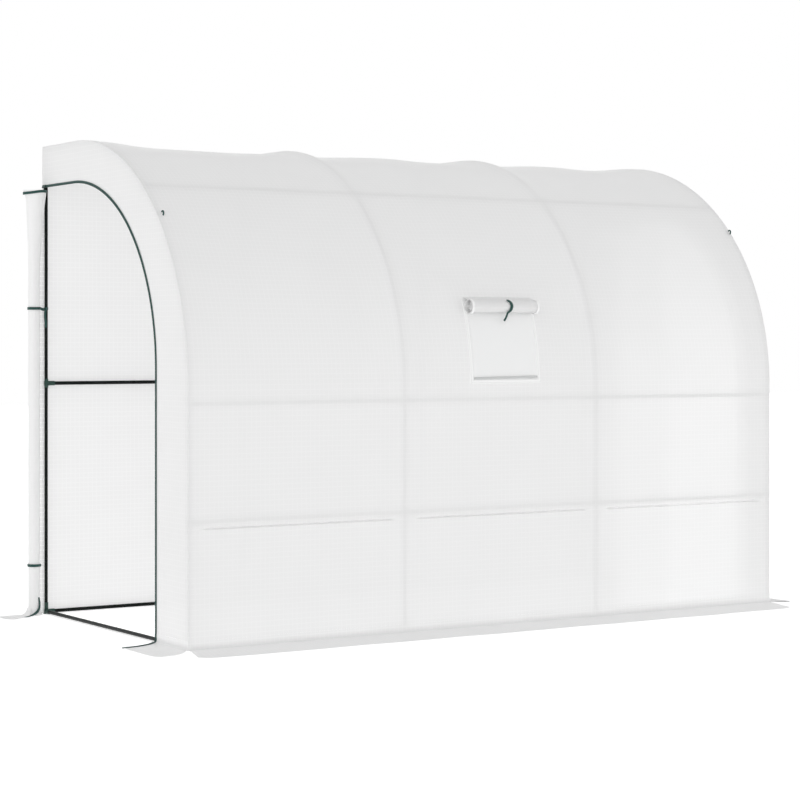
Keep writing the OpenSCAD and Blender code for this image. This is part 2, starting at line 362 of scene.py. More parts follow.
def remap(tree, value, source, target):
    """A value carried from one range (low, high) to another."""
    return add_node(tree, "MapRange", {
        "Value": value, "From Min": source[0], "From Max": source[1],
        "To Min": target[0], "To Max": target[1]}).outputs["Result"]


def colour_between(tree, factor, first, second):
    node = add_node(tree, "ValToRGB", {"Fac": factor})
    node.color_ramp.elements[0].color = (*first, 1)
    node.color_ramp.elements[1].color = (*second, 1)
    return node.outputs["Color"]


def object_coordinates(tree):
    return add_node(tree, "TexCoord", {}).outputs["Object"]


def noise(tree, scale, detail=4.0):
    values = {"Scale": scale, "Detail": detail, "Vector": object_coordinates(tree)}
    return add_node(tree, "TexNoise", values).outputs["Fac"]


def bump(tree, height, distance, strength):
    values = {"Height": height, "Distance": distance, "Strength": strength}
    return add_node(tree, "Bump", values).outputs["Normal"]


def mix_shaders(tree, share, first, second):
    """Two shaders mixed. share is the second one's, as a number or a node's output."""
    node = tree.nodes.new("ShaderNodeMixShader")
    for socket, value in zip(node.inputs, (share, first.outputs[0], second.outputs[0])):
        feed(tree, socket, value)
    return node


def show(tree, shader, output="Material Output"):
    tree.links.new(shader.outputs[0], tree.nodes[output].inputs["Surface"])


def thread_mask(tree, pitch, share):
    """1 on the threads of a square grid in the cloth's own metres, 0 between them."""
    cloth = tree.nodes.new("ShaderNodeUVMap")
    cloth.uv_map = "cloth"
    split = add_node(tree, "SeparateXYZ", {"Vector": cloth.outputs["UV"]})
    masks = []
    for axis in ("X", "Y"):
        turn = math_node(tree, "FRACT", math_node(tree, "MULTIPLY", split.outputs[axis], 1 / pitch))
        off_thread = math_node(tree, "ABSOLUTE", math_node(tree, "SUBTRACT", turn, 0.5))
        masks.append(remap(tree, off_thread, (share / 2, share / 4), (0, 1)))
    return math_node(tree, "MAXIMUM", *masks)


def film_material(name, film, thread, glow, clear):
    """Woven film in grey levels. glow is the light scattered through it, clear what is seen through it."""
    material, tree, shader = new_material(name)
    threads = thread_mask(tree, THREAD_PITCH, THREAD_SHARE)
    grain = noise(tree, 420.0, 2.0)
    cloud = remap(tree, noise(tree, 3.0), NOISE_RANGE, (0.0, 0.35))
    tone = math_node(tree, "ADD", math_node(tree, "MULTIPLY", threads, 0.65), cloud, clamp=True)
    relief = math_node(tree, "ADD", threads, math_node(tree, "MULTIPLY", grain, 0.3))
    dress(tree, shader, {
        "Base Color": colour_between(tree, tone, (film,) * 3, (thread,) * 3),
        "Roughness": remap(tree, grain, NOISE_RANGE, (0.42, 0.55)),
        "Specular IOR Level": 0.35,
        "Normal": bump(tree, relief, 0.00012, 0.5)})
    through = add_node(tree, "BsdfTranslucent", {"Color": (0.95, 0.95, 0.95, 1)})
    look = mix_shaders(tree, glow, shader, through)
    if clear:
        open_share = remap(tree, threads, (0, 1), (clear, clear * 0.3))
        look = mix_shaders(tree, open_share, look, add_node(tree, "BsdfTransparent", {}))
    show(tree, look)
    return material


def painted_steel():
    """Dark green enamel on drawn tube: faint orange peel and dull patches."""
    material, tree, shader = new_material("green_enamel")
    peel = noise(tree, 600.0, 2.0)
    dull = noise(tree, 9.0)
    dress(tree, shader, {
        "Base Color": colour_between(tree, dull, (0.003, 0.005, 0.0045), (0.006, 0.009, 0.008)),
        "Roughness": remap(tree, dull, NOISE_RANGE, (0.24, 0.38)),
        "Specular IOR Level": 0.12,
        "Normal": bump(tree, peel, 0.0001, 0.4)})
    return material


def moulded_plastic():
    """Dark green moulded plastic with a fine spark-eroded grain."""
    material, tree, shader = new_material("green_moulded")
    grain = noise(tree, 900.0, 2.0)
    tone = noise(tree, 14.0)
    dress(tree, shader, {
        "Base Color": colour_between(tree, tone, (0.010, 0.040, 0.030), (0.016, 0.058, 0.045)),
        "Roughness": remap(tree, grain, NOISE_RANGE, (0.45, 0.65)),
        "Normal": bump(tree, grain, 0.00015, 0.5)})
    return material


def webbing(name, dark, light, pitch=0.0022):
    """Woven tape: fine crossing ribs with a little colour change between them."""
    material, tree, shader = new_material(name)
    ribs = []
    for axis in ("DIAGONAL", "Z"):
        wave = add_node(tree, "TexWave", {"Scale": 0.31 / pitch, "Vector": object_coordinates(tree)})
        wave.bands_direction = axis
        ribs.append(wave.outputs["Fac"])
    weave = math_node(tree, "MULTIPLY", *ribs)
    dress(tree, shader, {
        "Base Color": colour_between(tree, weave, dark, light),
        "Roughness": 0.75,
        "Sheen Weight": 0.15,
        "Normal": bump(tree, weave, 0.0003, 0.7)})
    return material


def net_material():
    """Fine window net: pale threads with clear meshes between them."""
    material, tree, shader = new_material("pale_net")
    threads = thread_mask(tree, NET_PITCH, NET_SHARE)
    dress(tree, shader, {
        "Base Color": colour_between(tree, threads, (0.93, 0.935, 0.935), (0.965, 0.97, 0.97)),
        "Roughness": 0.6,
        "Normal": bump(tree, threads, 0.0003, 0.6)})
    open_share = remap(tree, threads, (0, 1), (0.20, 0.02))
    show(tree, mix_shaders(tree, open_share, shader, add_node(tree, "BsdfTransparent", {})))
    return material


FILM = film_material("woven_film", 0.90, 0.93, glow=0.08, clear=0.02)
REAR_FILM = film_material("rear_film", 0.90, 0.93, glow=0.42, clear=0.05)
SKIRT_FILM = film_material("skirt_film", 0.90, 0.935, glow=0.06, clear=0.02)
# The rolled door takes a lighter copy of the film: painted light that keeps the roll bright where it sits
# in shade.
ROLL_FILM_LIGHTENED = film_material("rolled_film_lightened", 0.95, 0.97, glow=0.04, clear=0.0)
FLAP_FILM = film_material("flap_film", 0.90, 0.94, glow=0.16, clear=0.0)
# The end skirts take a lighter copy of the skirt film: painted light that lifts them where they lie in the
# shade of the ends.
END_SKIRT_FILM_LIGHTENED = film_material("end_skirt_film_lightened", 0.935, 0.955, glow=0.06, clear=0.02)
# The lead between the roll and the post takes a lighter, clearer copy of the film: painted light that
# keeps it bright where the roll and the post shade it.
LEAD_FILM_LIGHTENED = film_material("lead_film_lightened", 0.93, 0.95, glow=0.45, clear=0.25)
TAPE_FILM = film_material("border_tape", 0.98, 0.99, glow=0.0, clear=0.0)
STEEL = painted_steel()
PLASTIC = moulded_plastic()
WEBBING = webbing("green_tape", (0.008, 0.046, 0.039), (0.018, 0.092, 0.078))
ZIP_TEETH = webbing("green_teeth", (0.008, 0.048, 0.040), (0.012, 0.066, 0.056), 0.004)
# A plain grey strip for the thin grey line along the window's lower edge.
SILL_GREY = webbing("grey_strip", (0.58, 0.59, 0.59), (0.72, 0.73, 0.73))
THREAD = webbing("white_thread", (0.72, 0.73, 0.73), (0.88, 0.88, 0.88))
NET = net_material()
SLOTS = {WEBBING: "green_webbing", ZIP_TEETH: "green_webbing", PLASTIC: "green_plastic", NET: "window_net"}


# The main cover: how it hangs between hoops and purlins, and the crease low on its front

HOOP_FLANK = np.array([0.20, 0.045, 0.045, 0.17])
BAY_RISE = np.array([0.12, 0.55, 0.35])
BAY_SLACK = np.array([1.05, 1.0, 1.0])
RISE_AT = 0.45
RISE_W = 0.2
SINKS = (0.003, 0.004, 0.015, 0.026)
SINK_POWER = 0.8
HOOP_CALM = (0.02, 0.2)
PURLIN_CALM = 0.06
WINDOW_CALM = 0.16
UNEVEN_SCALE = 0.34
UNEVEN_LOW = 0.0012
UNEVEN_HIGH = 0.0035
CREASE_S = 0.474
CREASE_W = 0.0028
CREASE_DEPTH = 0.008
CREASE_START = (0.05, 0.075)
CREASE_FINE = 0.009
CREASE_ZONE = 0.012
BAND_S = CREASE_S + 0.024
BAND_W = 0.016
BAND_RISE = 0.0025
CELL = 0.0145
HEM_R = 0.010
HEM_CELL = 0.0025
EDGE_STEPS = (0, 0.1, 0.3, 0.6, 1)


def bay_sag(x):
    """Share of the full sag at a place along the length, and the distance to the nearest hoop."""
    bay = np.clip(np.floor((x - HOOPS[0]) / BAY), 0, 2).astype(int)
    t = np.clip((x - HOOPS[0]) / BAY - bay, 0, 1)
    tent = 1 - 1 / (1 + (t * BAY / HOOP_FLANK[bay]) ** 2)
    tent = tent * (1 - 1 / (1 + ((1 - t) * BAY / HOOP_FLANK[bay + 1]) ** 2))
    tent = tent * BAY_SLACK[bay] * (1 - BAY_RISE[bay] * hump(t, RISE_AT, RISE_W))
    return tent, np.minimum(t, 1 - t) * BAY


def off_window(x, s):
    """Distance outside the window's border, below 0 inside it."""
    beside = np.maximum(window_low.x - x, x - window_high.x)
    above = np.maximum(height_to_s(WINDOW_FOOT) - s, s - height_to_s(window_high.z))
    return np.maximum(beside, above)


def cover_depth(s, x):
    """How far the cover sinks in from its nominal surface between hoops and purlins."""
    tent, off_hoop = bay_sag(x)
    stops = (0.0, LOWER_S, MID_S, UPPER_S, ARCH_L)
    depth = np.zeros(np.broadcast(s, x).shape)
    for low, high, sink in zip(stops, stops[1:], SINKS):
        q = np.clip((s - low) / (high - low), 0, 1)
        depth = depth + sink * np.sin(math.pi * q) ** SINK_POWER * tent
    free = smooth(*HOOP_CALM, off_hoop)
    held = np.ones(free.shape)
    for at in (LOWER_S, MID_S, UPPER_S):
        held = held * (1 - hump(s, at, PURLIN_CALM))
    high_up = smooth(ARCH_Z, UPPER_S + 0.3, s) * (1 - smooth(ARCH_L - 0.15, ARCH_L, s))
    height = UNEVEN_LOW + UNEVEN_HIGH * high_up
    uneven = ripple(x, s * 0.6, UNEVEN_SCALE, seed=11) * height * free * held
    depth = (depth + uneven) * smooth(0.0, WINDOW_CALM, off_window(x, s))
    crease = smooth(*CREASE_START, off_hoop) * hump(s, CREASE_S, CREASE_W)
    band = hump(s, BAND_S, BAND_W) * free
    return depth + CREASE_DEPTH * crease - BAND_RISE * band


def edge_round(distance, radius):
    """Drop of a surface towards a rounded edge at a distance from that edge."""
    t = np.clip(1 - distance / radius, 0, 1)
    return radius * (1 - np.sqrt(np.maximum(1 - t * t, 0)))


def make_cover():
    """Roof, shoulder and front wall in one sheet, open where the window is."""
    open_x = (window_low.x + BORDER_W, window_high.x - BORDER_W)
    open_s = (height_to_s(WINDOW_FOOT + BORDER_W), height_to_s(window_high.z - BORDER_W))
    edge = HALF_LENGTH - EDGE_R
    ends = EDGE_R * np.array(EDGE_STEPS)
    xs = lines([-HALF_LENGTH, -edge, *HOOPS[1:3], *open_x, edge, HALF_LENGTH], CELL)
    xs = merged(xs, -HALF_LENGTH + ends, HALF_LENGTH - ends)
    s = lines([FOOT_Z, CREASE_S - CREASE_ZONE, CREASE_S + CREASE_ZONE, *open_s, ARCH_L], CELL)
    crease = CREASE_S + np.linspace(-CREASE_FINE, CREASE_FINE, 15)
    s = merged(s, crease, ARCH_L - lines([0, HEM_R], HEM_CELL))
    grid_x, grid_s = np.meshgrid(xs, s)
    inset = cover_depth(grid_s, grid_x)
    inset += edge_round(HALF_LENGTH - np.abs(grid_x), EDGE_R)
    inset += edge_round(ARCH_L - grid_s, HEM_R)
    y, z, _, _ = arch_profile(grid_s, inset)

    def in_window(r, c):
        middle_x = (xs[c] + xs[c + 1]) / 2
        middle_s = (s[r] + s[r + 1]) / 2
        return open_x[0] < middle_x < open_x[1] and open_s[0] < middle_s < open_s[1]

    sheet = add_grid("cover_sheet", stack(grid_x, y, z), stack(grid_x, grid_s), FILM, in_window)
    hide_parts("arch_cover")
    return sheet


# The rear wall

REAR_FOOT = 0.001
REAR_HEAD = 0.009
REAR_PANEL_H = 1.03
REAR_SAG = 0.004
REAR_UNEVEN = 0.0016


def make_rear():
    xs = np.linspace(-HALF_LENGTH, HALF_LENGTH, 170)
    zs = np.linspace(REAR_FOOT, TOP_Z - REAR_HEAD, 120)
    x, z = np.meshgrid(xs, zs)
    t = np.clip((x - HOOPS[0]) / BAY, 0, 3) % 1
    sag = np.sin(math.pi * t) * np.sin(math.pi * z / REAR_PANEL_H) ** 2
    y = REAR_Y - REAR_SAG * sag + REAR_UNEVEN * ripple(x, z, 0.4, seed=23)
    sheet = add_grid("rear_sheet", stack(x, y, z), stack(x, z), REAR_FILM)
    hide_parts("rear_cover")


# The ends

EDGE_OVERLAP = 0.0003
END_UNEVEN = 0.0022
DENT_DEPTH = 0.003
DENT_W = 0.022


def end_outline(count=90):
    """Depth and height along the edge of an end panel, matched point by point to door_edge."""
    wall = steps(FOOT_Z, ARCH_Z, count // 3)
    bend = ARCH_Z + steps(0, BEND_L, count)
    run = np.linspace(ARCH_Z + BEND_L, ARCH_L - FILM_T, count // 4)
    y, z, _, _ = arch_profile(np.concatenate([wall, bend, run]), EDGE_R - EDGE_OVERLAP)
    return stack(y, z)


def make_end(side, name):
    """The fixed arched panel round a doorway. side is -1 on the left and 1 on the right."""
    outer = end_outline()
    inner = door_edge()
    share = np.linspace(0, 1, 18)[None, :, None]
    flat = outer[:, None] * (1 - share) + inner[:, None] * share
    y = flat[..., 0]
    z = flat[..., 1]
    free = np.sin(math.pi * share[..., 0])
    dents = sum(hump(z, at, DENT_W) for at in (LOWER_S, MID_S))
    sink = END_UNEVEN * ripple(y, z, 0.3, seed=31) * free + DENT_DEPTH * dents * free
    points = stack(side * (HALF_LENGTH - np.abs(sink)), y, z)
    sheet = add_grid(f"{name}_end_sheet", points, flat, FILM)
    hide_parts(f"{name}_end_border")


# Skirts: they drop from the cover's foot, turn out and lie on the ground

SKIRT_R = 0.008
DROP = FOOT_Z - SKIRT_R - GROUND_LIFT
TURN_L = SKIRT_R * math.pi / 2
END_REACH = 0.190
END_LIFT = 0.0022
REAR_TAPER = 0.085
REAR_TAPER_POWER = 2.6
FRONT_INSET = 0.001
FRONT_SPREAD = {-1: 0.112, 1: 0.070}
SKIRT_CUT = {-1: 0.190, 1: 0.155}
SKIRT_FOLD = {-1: 0.190, 1: 0.080}
FOLD_H = 0.003
FOLD_SOFT = 0.004
TIP_PULL = 0.05
TIP_START = 0.75
FRONT_REACH = 0.240
FRONT_SHIFT = 0.055
FRONT_LIFT = 0.0026
FRONT_CORNER = 0.20
FRONT_CORNER_W = 0.03
FRONT_WAVE = 0.022
FRONT_FOLD_H = 0.004
FRONT_FOLD_X = (-1.15, -1.42)
CORNER_REACH = 0.010


def skirt_profile(along, top=FOOT_Z, drop=DROP, radius=SKIRT_R):
    """How far out and how high turned-out film is, and its turn, at a distance down from its top."""
    turn = np.clip((along - drop) / radius, 0, math.pi / 2)
    flat = np.clip(along - drop - radius * math.pi / 2, 0, None)
    out = radius * (1 - np.cos(turn)) + flat
    height = top - np.clip(along, 0, drop) - radius * np.sin(turn)
    return out, height, turn


def skirt_lines(reach):
    """Distances down a skirt's profile: along the drop, round the turn and over the ground."""
    drop = steps(0, DROP, 4)
    bend = DROP + steps(0, TURN_L, 8)
    flat = DROP + TURN_L + np.linspace(0, reach - SKIRT_R, 22)
    return np.concatenate([drop, bend, flat])


def ground_humps(u, v, q, height, scale, seed, power=0.7):
    """Gentle humps of film that lies on the ground, none at its root and its edge."""
    return height * (0.5 + 0.5 * ripple(u, v, scale, seed)) * np.sin(math.pi * q) ** power


def end_skirt_point(side, across, along):
    """A point of an end skirt: across from the jamb to the front, along down, out and back under."""
    out, height, _ = skirt_profile(along)
    under = np.clip(out - SKIRT_FOLD[side], 0, None)
    upper = FOLD_H * (side > 0) * smooth(FOLD_SOFT, 0.0, under)
    out = out - 2 * under
    q = np.clip((out - SKIRT_R) / (END_REACH - SKIRT_R), 0, 1)
    rear = JAMB_Y - REAR_TAPER * (1 - (1 - q) ** REAR_TAPER_POWER)
    front = FRONT_Y + FRONT_INSET - FRONT_SPREAD[side] * (1 - (1 - q) ** 3)
    y = rear + (front - rear) * across
    lift = ground_humps(y, out, q, END_LIFT, 0.16, seed=41)
    z = np.maximum(height + lift * (under == 0), GROUND_LEAST) + upper
    return stack(side * (HALF_LENGTH + out), y, z)


def make_end_skirt(side, name):
    cut = SKIRT_CUT[side]
    along, across = np.meshgrid(skirt_lines(cut), np.linspace(0, 1, 44))
    tips = TIP_PULL * np.clip(along / cut - TIP_START, 0, 1) * (np.abs(2 * across - 1) ** 8)
    points = end_skirt_point(side, across, along - tips)
    # The end skirt uses the lighter copy of the skirt film, which paints light on it.
    sheet = add_grid(f"{name}_skirt_sheet", points, stack(points[..., 1], along), END_SKIRT_FILM_LIGHTENED)
    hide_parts(f"{name}_skirt")
    make_corner(side, name)


def make_corner(side, name):
    """The short turned foot that closes the corner between an end skirt and the front skirt."""
    along = skirt_lines(CORNER_REACH)
    out, height, _ = skirt_profile(along)
    radius = EDGE_R + out
    way, row = np.meshgrid(np.linspace(0, math.pi / 2, 14), np.arange(len(along)))
    points = stack(side * (HALF_LENGTH - EDGE_R + radius[row] * np.cos(way)),
                   FRONT_Y + EDGE_R - radius[row] * np.sin(way),
                   np.maximum(height[row], GROUND_LIFT))
    foot = add_grid(f"{name}_corner_foot", points, stack(way * EDGE_R, along[row]), SKIRT_FILM)


def make_front_skirt():
    along, x = np.meshgrid(skirt_lines(FRONT_REACH), np.linspace(-HALF_LENGTH, HALF_LENGTH, 260))
    out, height, _ = skirt_profile(along)
    q = np.clip((out - SKIRT_R) / (FRONT_REACH - SKIRT_R), 0, 1)
    corner = 1 - FRONT_CORNER * np.exp(-(HALF_LENGTH - np.abs(x)) / FRONT_CORNER_W)
    edge = 1 + FRONT_WAVE * ripple(x, 0 * x, 0.4, seed=51)
    out = np.where(q > 0, SKIRT_R + (out - SKIRT_R) * corner * edge, out)
    fold = hump(q, 0.25, 0.06) * smooth(*FRONT_FOLD_X, x)
    lift = ground_humps(x, out, q, FRONT_LIFT, 0.22, seed=53) + FRONT_FOLD_H * fold
    z = np.maximum(height + lift, GROUND_LEAST)
    points = stack(x - FRONT_SHIFT * q, FRONT_Y - out, z)
    sheet = add_grid("front_skirt_sheet", points, stack(x, along), SKIRT_FILM)
    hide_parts("front_skirt")


# Zips

ZIP_W = 0.0115
ZIP_T = 0.0012
ZIP_ACROSS = 0.012
ZIP_GROUND_GAP = 0.0008
ZIP_WALL_GAP = 0.0004
ZIP_REACH = {-1: SKIRT_FOLD[-1], 1: SKIRT_R + 0.004}
TOOTH = (0.0024, 0.0046, 0.0016)
TOOTH_PITCH = 0.0042
TOOTH_INSET = 0.002
TOOTH_LIFT = 0.0007
SLIDER_LIFT = 0.003
SLIDER_BODY = (0.006, 0.022, 0.012)
SLIDER_NECK = (0.003, 0.006, 0.010)
SLIDER_TAB = (0.0022, 0.009, 0.034)
NECK_DROP = 0.008
TAB_DROP = 0.029


def zip_path(side):
    """Middle of the zip tape and the way it faces: from the skirt's tip up the jamb to the rear."""
    path = []
    face = []
    for along in skirt_lines(ZIP_REACH[side])[::-1]:
        point = end_skirt_point(side, np.float64(ZIP_ACROSS), np.float64(along))
        turn = float(skirt_profile(along)[2])
        normal = (side * math.cos(turn), 0, math.sin(turn))
        path.append(point + np.array(normal) * ZIP_GROUND_GAP)
        face.append(normal)
    edge = door_edge()
    out = unit(stack(-np.gradient(edge[:, 1]), np.gradient(edge[:, 0])))
    for y, z in edge + out * ZIP_W / 2:
        path.append((side * (HALF_LENGTH + FILM_T / 2 + ZIP_WALL_GAP), y, z))
        face.append((side, 0, 0))
    return np.array(path), np.array(face, float)


def make_zip(side, name):
    path, face = zip_path(side)
    tape = add_piece(f"{name}_zip_tape", *strap(path, face, ZIP_W, ZIP_T), WEBBING)
    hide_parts(f"{name}_door_zip")
    places, ahead, at = spaced(path, TOOTH_PITCH)
    out = unit(interpolated(at, run_along(path), face))
    inward = np.cross(ahead, out) * side
    centres = places + inward * (ZIP_W / 2 - TOOTH_INSET) + out * (ZIP_T + TOOTH_LIFT)
    axes = np.stack([ahead, inward, out], axis=1)
    add_piece(f"{name}_zip_teeth", *boxes(centres, axes, TOOTH), ZIP_TEETH, smooth_shade=False)
    make_slider(side, name, path[-3], face[-3])


def make_slider(side, name, place, face):
    """The zip's slider and its pull tab, parked at the rear end of the head."""
    base = place + face * SLIDER_LIFT
    neck_at = base + (side * SLIDER_LIFT, 0, -NECK_DROP)
    tab_at = base + (side * SLIDER_LIFT, 0, -TAB_DROP)
    parts = [boxes([at], [np.eye(3)], size) for at, size in
             ((base, SLIDER_BODY), (neck_at, SLIDER_NECK), (tab_at, SLIDER_TAB))]
    slider = add_piece(f"{name}_zip_slider", *join(parts), PLASTIC, smooth_shade=False)
    ease = slider.modifiers.new("eased", "BEVEL")
    ease.width = 0.001
    ease.segments = 2


# Rolled doors

ROLL_R = 0.027
ROLL_INNER = 0.007
ROLL_UNEVEN = 0.03
ROLL_FOOT = 0.003
ROLL_TOP = DOOR_TOP - 0.014
ROLL_X = 1.563
WEB_Y = 0.8075
ROLL_Y = WEB_Y - ROLL_R
DOOR_W = REAR_Y - JAMB_Y
FLARE_TOP_R = 0.050
FLARE_TOP_H = 0.360
FLARE_POWER = 1.6
FLARE_FOOT_R = 0.036
FLARE_FOOT_H = 0.060
LEAD_W = ROLL_X - HALF_LENGTH
LEAD_COLUMNS = 6
LEAD_START = (HALF_LENGTH - 0.003, 0.7925)
TOP_SHIFT = 0.006
TOP_LEAN = 0.6
TIP_FLARE = 0.014
TIP_H = 0.04
RIM_L = 0.42
RIM_DIP = 0.010
RIM_DIP_X = (1.54, 1.63)
RIM_GAP = 0.0006
STRIPE_TURN = 0.055
STRIPE_H = 0.03
STRIPE_ANGLE = math.radians(-32)
STRIPE_KNEE = 0.012
STRIPE_END = (1.640, 0.698, 0.0035)


def roll_radius(z):
    """Outer radius of the rolled door at a height: loose on top, spread at the foot."""
    top = np.clip((z - ROLL_TOP + FLARE_TOP_H) / FLARE_TOP_H, 0, 1) ** FLARE_POWER
    foot = np.clip(1 - z / FLARE_FOOT_H, 0, 1) ** 2
    return ROLL_R + (FLARE_TOP_R - ROLL_R) * top + (FLARE_FOOT_R - ROLL_R) * foot


def roll_point(side, w, z):
    """A point of the rolled door: w is the distance from its fixed edge along the sheet."""
    outer = roll_radius(z)
    inner = ROLL_INNER * outer / ROLL_R
    slope = (outer - inner) / (DOOR_W - LEAD_W)
    radius = outer - slope * np.clip(w - LEAD_W, 0, None)
    turn = np.log(outer / radius) / slope
    uneven = 1 + ROLL_UNEVEN * ripple(turn * 0.05, z, 0.35, seed=61)
    flare = outer - ROLL_R
    centre_y = WEB_Y - ROLL_R - TOP_LEAN * flare
    centre_x = ROLL_X - TOP_SHIFT * (z > ROLL_TOP / 2) * flare / (FLARE_TOP_R - ROLL_R)
    y_wound = centre_y + radius * uneven * np.cos(turn)
    tip = TIP_FLARE * smooth(ROLL_TOP - TIP_H, ROLL_TOP, z) * np.clip(np.sin(turn), 0, 1) * radius / outer
    x_wound = centre_x + radius * uneven * np.sin(turn) + tip
    flat_part = np.clip(w / LEAD_W, 0, 1)
    x_flat = LEAD_START[0] + (ROLL_X - LEAD_START[0]) * flat_part
    y_flat = LEAD_START[1] + (centre_y + outer - LEAD_START[1]) * flat_part
    x = np.where(w > LEAD_W, x_wound, x_flat)
    y = np.where(w > LEAD_W, y_wound, y_flat)
    return stack(side * x, np.minimum(y, REAR_Y + FILM_T), z)


def door_height(w):
    """Height of the door's own arched cut at a distance from its fixed edge."""
    across = np.clip(DOOR_ARC_Y - (REAR_Y - w), 0, DOOR_R * 0.999)
    return DOOR_ARC_Z + np.sqrt(DOOR_R ** 2 - across ** 2) - (DOOR_TOP - ROLL_TOP)


def make_door(side, name):
    w = np.concatenate([steps(0, LEAD_W, LEAD_COLUMNS),
                        np.linspace(LEAD_W, DOOR_W, 210)])
    share = np.concatenate([steps(0, 0.03, 9),
                            steps(0.03, 0.8, 24),
                            np.linspace(0.8, 1, 22)])
    grid_w, grid_q = np.meshgrid(w, share)
    z = ROLL_FOOT + (door_height(grid_w) - ROLL_FOOT) * grid_q
    points = roll_point(side, grid_w, z)
    # The door sheet takes the lighter copy of the film, which paints light on the roll.
    sheet = add_grid(f"{name}_door_sheet", points, stack(grid_w, z), ROLL_FILM_LIGHTENED)
    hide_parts(f"{name}_door_roll")
    # The lead columns take the lighter, clearer copy of the film, which paints light on them.
    sheet.data.materials.append(LEAD_FILM_LIGHTENED)
    for k, face in enumerate(sheet.data.polygons):
        face.material_index = int(k % (len(w) - 1) < LEAD_COLUMNS)
    make_door_rim(side, name)
    make_door_flap(side, name)


def make_door_rim(side, name):
    """The door's half of the zip tape where it shows: along the roll's top and at its foot."""
    w = np.linspace(0.002, LEAD_W + RIM_L, 110)
    top = roll_point(side, w, door_height(w) - ZIP_W / 2)
    top[:, 2] -= RIM_DIP * smooth(*RIM_DIP_X, np.abs(top[:, 0]))
    centre = stack(side * ROLL_X, ROLL_Y, top[:, 2])
    away = unit((top - centre) * (1, 1, 0))
    away[:LEAD_COLUMNS] = (0, 1, 0)
    rim = strap(top + away * RIM_GAP, away, ZIP_W, ZIP_T)
    stripe = strap(*door_stripe(side), ZIP_W, ZIP_T)
    add_piece(f"{name}_door_zip_half", *join([rim, stripe]), WEBBING)


def door_stripe(side):
    """Path and facing of the zip tape that comes out of the roll's foot and turns out on the ground."""
    z = np.linspace(STRIPE_TURN, STRIPE_TURN + STRIPE_H, 6)
    radial = np.array([side * math.sin(STRIPE_ANGLE), -math.cos(STRIPE_ANGLE), 0])
    radius = (roll_radius(z) * 1.015 + ZIP_T - 0.2 * (z - STRIPE_TURN))[:, None]
    upright = stack(side * ROLL_X, ROLL_Y, z) + radial * radius
    t = steps(0, 1, 16)[:, None]
    end = np.array(STRIPE_END) * (side, 1, 1)
    knee = np.array([upright[0, 0], upright[0, 1] - STRIPE_KNEE, STRIPE_END[2]])
    turned = end * (1 - t) ** 2 + knee * 2 * t * (1 - t) + upright[0] * t ** 2
    facing = unit(np.array([0, 0, 1.0]) * (1 - t) + radial * t)
    path = np.concatenate([turned, upright])
    return path, np.concatenate([facing, np.repeat([radial], len(z), axis=0)])


# Ground flaps of the doors

FLAP_TURN_R = 0.032
FLAP_FLAT = (0.140, 0.165)
FLAP_ROOT_L = 0.05
FLAP_REACH = 0.125
FLAP_ROOT_W = 0.046
FLAP_SPREAD = 0.094
FLAP_REAR_GAP = 0.004
FLAP_REAR_TAPER = 0.006
FLAP_CORNER = 0.022
FLAP_LIFT = 0.0030
FLAP_FOOT = 0.0016


def make_door_flap(side, name):
    """The door's own piece of ground skirt, turned out from the foot of the roll."""
    runs = np.concatenate([steps(0, FLAP_ROOT_L, 12),
                           np.linspace(FLAP_ROOT_L, FLAP_FLAT[1], 20)])
    along, across = np.meshgrid(runs, np.linspace(0, 1, 26))
    out, height, _ = skirt_profile(along, FLAP_FOOT + FLAP_TURN_R, 0, FLAP_TURN_R)
    q = np.clip(out / FLAP_REACH, 0, 1)
    width = FLAP_ROOT_W + FLAP_SPREAD * np.sin(q * math.pi / 2)
    y = REAR_Y - FLAP_REAR_GAP - FLAP_REAR_TAPER * (1 - q) - width * across
    x = ROLL_X + ROLL_R + out - FLAP_CORNER * np.abs(2 * across - 1) ** 6 * smooth(0.7, 1.0, q)
    z = height + ground_humps(x, y, q, FLAP_LIFT, 0.12, seed=71, power=1)
    sheet = add_grid(f"{name}_door_flap", stack(side * x, y, z), stack(along, y), SKIRT_FILM)


# Straps of the rolled doors

STRAP_W = 0.012
STRAP_T = 0.0015
STRAP_GAP = 0.0012
STRAP_TOP_GAP = 0.008
STRAP_TAIL = 0.085
KNOT_R = 0.0035
POST_X = HOOPS[3]
POST_Y = middle("left_end_post")[1]
POST_R = 0.0083


def ring_path(x, y, radius, z, start, end, count=40):
    """Path and facing of a level ring or part of one, from one angle in degrees to another."""
    turns = np.radians(np.linspace(start, end, count))
    facing = stack(np.cos(turns), np.sin(turns), 0)
    return np.array([x, y, z]) + radius * facing, facing


def mirrored(part, side):
    """A left-hand or right-hand copy of (points, faces) that were made for the right end."""
    points, faces = part
    if side > 0:
        return points, faces
    return points * (-1, 1, 1), [tuple(reversed(f)) for f in faces]


